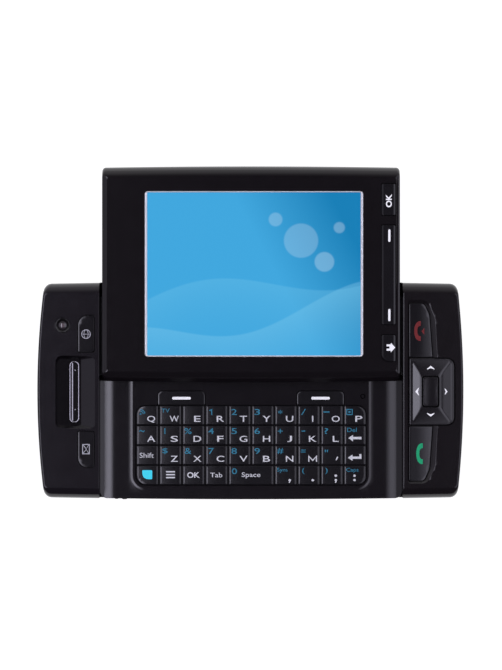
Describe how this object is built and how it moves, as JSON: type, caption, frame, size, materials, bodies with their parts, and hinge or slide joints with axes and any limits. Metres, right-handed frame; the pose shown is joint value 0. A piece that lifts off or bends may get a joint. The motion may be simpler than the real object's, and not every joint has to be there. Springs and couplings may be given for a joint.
{
  "type": "slider phone",
  "caption": "Side-slider phone with a display half that slides over a letter keyboard between raised end housings with keys, camera and direction pad.",
  "frame": {"origin": "centre of the flat back face of the base, the face the phone lies on", "axes": "+X along the base towards the direction pad, +Y across the base towards the side on which the display half slides out, +Z out of the keys and screen"},
  "size_m": [0.1163, 0.0913, 0.019],
  "materials": {
    "housing_black": "satin near-black moulded plastic with a faint violet tint",
    "deck_black": "satin near-black moulded plastic, slightly lighter than the ends",
    "front_black": "glossy near-black plastic",
    "key_black": "semi-gloss dark grey keycaps, bevelled",
    "housing_key_black": "gloss black keycaps",
    "trim_silver": "bright silver trim",
    "ring_chrome": "polished chrome",
    "screen": null,
    "lens_glass": "dark coated lens",
    "camera_trim": "gloss black camera bezel",
    "steel": "pressed steel",
    "screw_black": "black zinc-plated screws",
    "board_green": "solder-masked circuit board",
    "dome_gold": "gold-plated dome contacts",
    "rubber_grey": "silicone rubber",
    "module_black": "black component body",
    "battery_grey": "battery pack in a plain grey jacket",
    "flex_amber": "polyimide flexible cable",
    "mesh_black": "fine black woven mesh",
    "legend_white": "printed white legends",
    "legend_blue": "printed blue legends",
    "legend_cyan": "printed cyan mark",
    "legend_red": "printed red handset",
    "legend_green": "printed green handset"
  },
  "bodies": {
    "base": {"back_housing": "housing_black", "left_end_housing": "housing_black", "right_end_housing": "housing_black", "keyboard_deck": "deck_black", "keypad_mat": "rubber_grey", "dome_board": "dome_gold", "main_board": "board_green", "shield_cans": "steel", "battery_pack": "battery_grey", "usb_socket": "steel", "earpiece_ring": "ring_chrome", "earpiece_mesh": "mesh_black", "earpiece_speaker": "module_black", "front_camera_ring": "camera_trim", "front_camera_lens": "lens_glass", "front_camera_module": "module_black", "rear_camera_lens": "lens_glass", "rear_camera_module": "module_black", "loudspeaker": "module_black", "vibration_motor": "steel", "slide_rails": "steel", "housing_screws": "screw_black", "key_boards": "board_green", "sim_holder": "steel"},
    "slider": {"slider_front": "front_black", "slider_back": "housing_black", "display_window": "screen", "display_trim": "trim_silver", "lcd_module": "steel", "slider_board": "board_green", "slide_runners": "steel", "display_flex": "flex_amber", "slider_screws": "screw_black"},
    "battery_cover": {"battery_cover": "housing_black"},
    "letters_row_1": {"letters_row_1": "key_black"},
    "letters_row_2": {"letters_row_2": "key_black"},
    "letters_row_3": {"letters_row_3": "key_black"},
    "punctuation_keys": {"punctuation_keys": "key_black"},
    "backspace_key": {"backspace_key": "key_black"},
    "shift_key": {"shift_key": "key_black"},
    "enter_key": {"enter_key": "key_black"},
    "fn_key": {"fn_key": "key_black"},
    "start_key": {"start_key": "key_black"},
    "ok_key": {"ok_key": "key_black"},
    "tab_key": {"tab_key": "key_black"},
    "space_key": {"space_key": "key_black"},
    "softkey_left": {"softkey_left": "key_black"},
    "softkey_right": {"softkey_right": "key_black"},
    "browser_key": {"browser_key": "housing_key_black"},
    "mail_key": {"mail_key": "housing_key_black"},
    "end_key": {"end_key": "housing_key_black"},
    "call_key": {"call_key": "housing_key_black"},
    "select_key": {"select_key": "housing_key_black"},
    "front_ok_key": {"front_ok_key": "housing_key_black"},
    "home_key": {"home_key": "housing_key_black"},
    "side_key": {"side_key": "housing_key_black"},
    "camera_key": {"camera_key": "housing_key_black"},
    "softkey_rocker": {"softkey_rocker": "housing_key_black"},
    "dpad_actuator": {"dpad_actuator": "rubber_grey"},
    "dpad_ring": {"dpad_ring": "housing_key_black"}
  },
  "joints": [
    {"name": "slider_slide", "type": "slide", "parent": "base", "child": "slider", "axis": [0, 1, 0], "range_m": [-0.032, 0], "deforming": ["display_flex"]},
    {"name": "battery_cover_slide", "type": "slide", "parent": "base", "child": "battery_cover", "axis": [1, 0, 0], "range_m": [0, 0.052]},
    {"name": "letters_row_1_press", "type": "slide", "parent": "base", "child": "letters_row_1", "axis": [0, 0, -1], "range_m": [0, 0.00025], "stiffness_N_per_m": 400},
    {"name": "letters_row_2_press", "type": "slide", "parent": "base", "child": "letters_row_2", "axis": [0, 0, -1], "range_m": [0, 0.00025], "stiffness_N_per_m": 400},
    {"name": "letters_row_3_press", "type": "slide", "parent": "base", "child": "letters_row_3", "axis": [0, 0, -1], "range_m": [0, 0.00025], "stiffness_N_per_m": 400},
    {"name": "punctuation_keys_press", "type": "slide", "parent": "base", "child": "punctuation_keys", "axis": [0, 0, -1], "range_m": [0, 0.00025], "stiffness_N_per_m": 400},
    {"name": "backspace_key_press", "type": "slide", "parent": "base", "child": "backspace_key", "axis": [0, 0, -1], "range_m": [0, 0.00025], "stiffness_N_per_m": 400},
    {"name": "shift_key_press", "type": "slide", "parent": "base", "child": "shift_key", "axis": [0, 0, -1], "range_m": [0, 0.00025], "stiffness_N_per_m": 400},
    {"name": "enter_key_press", "type": "slide", "parent": "base", "child": "enter_key", "axis": [0, 0, -1], "range_m": [0, 0.00025], "stiffness_N_per_m": 400},
    {"name": "fn_key_press", "type": "slide", "parent": "base", "child": "fn_key", "axis": [0, 0, -1], "range_m": [0, 0.00025], "stiffness_N_per_m": 400},
    {"name": "start_key_press", "type": "slide", "parent": "base", "child": "start_key", "axis": [0, 0, -1], "range_m": [0, 0.00025], "stiffness_N_per_m": 400},
    {"name": "ok_key_press", "type": "slide", "parent": "base", "child": "ok_key", "axis": [0, 0, -1], "range_m": [0, 0.00025], "stiffness_N_per_m": 400},
    {"name": "tab_key_press", "type": "slide", "parent": "base", "child": "tab_key", "axis": [0, 0, -1], "range_m": [0, 0.00025], "stiffness_N_per_m": 400},
    {"name": "space_key_press", "type": "slide", "parent": "base", "child": "space_key", "axis": [0, 0, -1], "range_m": [0, 0.00025], "stiffness_N_per_m": 400},
    {"name": "softkey_left_press", "type": "slide", "parent": "base", "child": "softkey_left", "axis": [0, 0, -1], "range_m": [0, 0.00025], "stiffness_N_per_m": 400},
    {"name": "softkey_right_press", "type": "slide", "parent": "base", "child": "softkey_right", "axis": [0, 0, -1], "range_m": [0, 0.00025], "stiffness_N_per_m": 400},
    {"name": "browser_key_press", "type": "slide", "parent": "base", "child": "browser_key", "axis": [0, 0, -1], "range_m": [0, 0.00028], "stiffness_N_per_m": 400},
    {"name": "mail_key_press", "type": "slide", "parent": "base", "child": "mail_key", "axis": [0, 0, -1], "range_m": [0, 0.00028], "stiffness_N_per_m": 400},
    {"name": "end_key_press", "type": "slide", "parent": "base", "child": "end_key", "axis": [0, 0, -1], "range_m": [0, 0.00028], "stiffness_N_per_m": 400},
    {"name": "call_key_press", "type": "slide", "parent": "base", "child": "call_key", "axis": [0, 0, -1], "range_m": [0, 0.00028], "stiffness_N_per_m": 400},
    {"name": "select_key_press", "type": "slide", "parent": "base", "child": "select_key", "axis": [0, 0, -1], "range_m": [0, 0.00025], "stiffness_N_per_m": 400},
    {"name": "front_ok_key_press", "type": "slide", "parent": "slider", "child": "front_ok_key", "axis": [0, 0, -1], "range_m": [0, 0.00025], "stiffness_N_per_m": 400},
    {"name": "home_key_press", "type": "slide", "parent": "slider", "child": "home_key", "axis": [0, 0, -1], "range_m": [0, 0.00025], "stiffness_N_per_m": 400},
    {"name": "side_key_press", "type": "slide", "parent": "base", "child": "side_key", "axis": [0, 1, 0], "range_m": [0, 0.0003], "stiffness_N_per_m": 400},
    {"name": "camera_key_press", "type": "slide", "parent": "base", "child": "camera_key", "axis": [0, -1, 0], "range_m": [0, 0.0003], "stiffness_N_per_m": 400},
    {"name": "softkey_rocker_tilt", "type": "hinge", "parent": "slider", "child": "softkey_rocker", "pos_m": [0.0375, 0.03155, 0.0179], "axis": [1, 0, 0], "range_deg": [-1.2, 1.2], "stiffness_Nm_per_rad": 0.2},
    {"name": "dpad_up_down", "type": "hinge", "parent": "base", "child": "dpad_actuator", "pos_m": [0.0496, -0.0003, 0.01595], "axis": [1, 0, 0], "range_deg": [-1.3, 1.3], "stiffness_Nm_per_rad": 0.2},
    {"name": "dpad_left_right", "type": "hinge", "parent": "dpad_actuator", "child": "dpad_ring", "pos_m": [0.0496, -0.0003, 0.01595], "axis": [0, 1, 0], "range_deg": [-1.3, 1.3], "stiffness_Nm_per_rad": 0.2}
  ]
}
